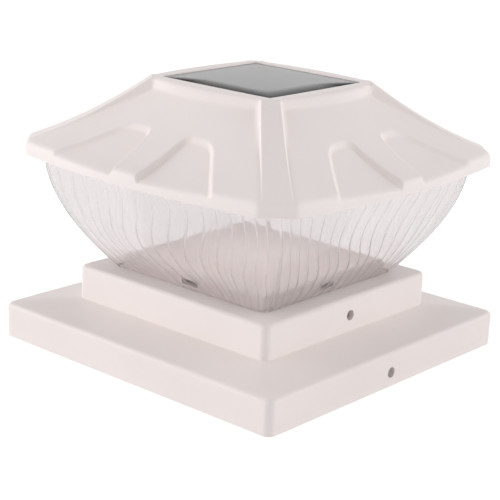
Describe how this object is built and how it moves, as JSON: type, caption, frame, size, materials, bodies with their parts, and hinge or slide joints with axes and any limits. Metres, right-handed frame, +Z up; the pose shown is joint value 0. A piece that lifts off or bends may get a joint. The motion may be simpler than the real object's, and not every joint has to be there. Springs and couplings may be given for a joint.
{
  "type": "deck post cap light",
  "caption": "Solar cap light for a square deck post: flared hood with a recessed solar panel over a clear rippled bowl lens, on a stepped collar and a wider adapter tray.",
  "frame": {"origin": "centre of the adapter tray's open bottom edge, on the plane that the tray rests on", "axes": "+Z up along the post; +X out of one of the two sides that carry the fixing screw holes; -Y out of the plain side to its right as seen from above"},
  "size_m": [0.1666, 0.1666, 0.1203],
  "materials": {
    "white_plastic": "satin off-white moulded ASA, fine even grain",
    "clear_lens": "clear water-white moulded polycarbonate with wavy upright ripples",
    "foam": "pale closed-cell foam",
    "sealant": "grey-white silicone sealant",
    "panel_back": "white solder-masked board",
    "solar_cell": "near-black crystalline silicon",
    "panel_cover": "clear cast epoxy over dark cells",
    "lead_insulation": "PVC lead insulation",
    "reflector_white": "glossy white reflector plastic",
    "screw_steel": "zinc-plated steel",
    "board_white": "white solder mask",
    "led": "phosphor-filled LED package",
    "frosted": "frosted opal diffuser",
    "battery_wrap": "printed-free shrink wrap",
    "contact_nickel": "nickel-plated spring steel",
    "board_green": "green solder mask",
    "component_black": "black moulded components",
    "switch_black": "black nylon"
  },
  "bodies": {
    "adapter": {"post_adapter_tray": "white_plastic"},
    "lamp_base": {"post_collar": "white_plastic", "lens_shade": "clear_lens"},
    "hood_unit": {"lens_gasket": "foam", "hood": "white_plastic", "panel_sealant": "sealant", "solar_board": "panel_back", "solar_cells": "solar_cell", "solar_cover": "panel_cover", "panel_leads": "lead_insulation", "reflector_pan": "reflector_white", "pan_screws": "screw_steel", "battery_door_screws": "screw_steel", "control_board_screws": "screw_steel", "led_board": "board_white", "leds": "led", "led_diffuser": "frosted", "led_leads": "lead_insulation", "battery": "battery_wrap", "battery_plate_contact": "contact_nickel", "battery_spring_contact": "contact_nickel", "battery_door": "reflector_white", "control_board": "board_green", "control_parts": "component_black", "switch_housing": "switch_black"},
    "switch_knob": {"switch_slider": "switch_black"}
  },
  "joints": [
    {"name": "lamp_lift", "type": "slide", "parent": "adapter", "child": "lamp_base", "axis": [0, 0, 1], "range_m": [0, 0.03]},
    {"name": "hood_lift", "type": "slide", "parent": "lamp_base", "child": "hood_unit", "axis": [0, 0, 1], "range_m": [0, 0.05]},
    {"name": "switch_slide", "type": "slide", "parent": "hood_unit", "child": "switch_knob", "axis": [1, 0, 0], "range_m": [0, 0.004]}
  ]
}
